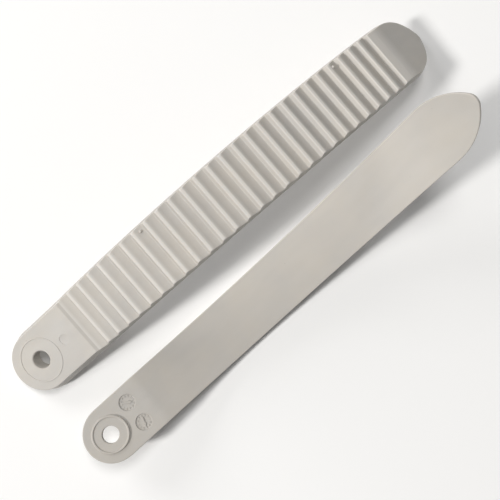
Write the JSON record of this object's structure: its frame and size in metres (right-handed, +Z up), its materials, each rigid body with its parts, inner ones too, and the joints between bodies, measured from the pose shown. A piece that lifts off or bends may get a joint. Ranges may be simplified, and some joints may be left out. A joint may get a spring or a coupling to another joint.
{
  "type": "ladder strap pair",
  "caption": "Pair of curved ladder straps for a ratchet buckle, each with a row of teeth, a screw bore in a round pad and a pointed tip; one lies teeth up, one back up.",
  "frame": {"origin": "on the floor, under the middle of the box round both straps", "axes": "+X from the bore ends to the tips, +Y from the back-up strap to the teeth-up strap, +Z up"},
  "size_m": [0.2022, 0.0604, 0.0567],
  "materials": {
    "satin_plastic": "satin injection-moulded plastic, warm pale grey"
  },
  "bodies": {
    "teeth_up_strap": {"teeth_up_strap": "satin_plastic"},
    "back_up_strap": {"back_up_strap": "satin_plastic"}
  },
  "joints": [
    {"name": "lift_back_up_strap", "type": "slide", "parent": "teeth_up_strap", "child": "back_up_strap", "axis": [0, 0, 1], "range_m": [0, 0.08]}
  ]
}
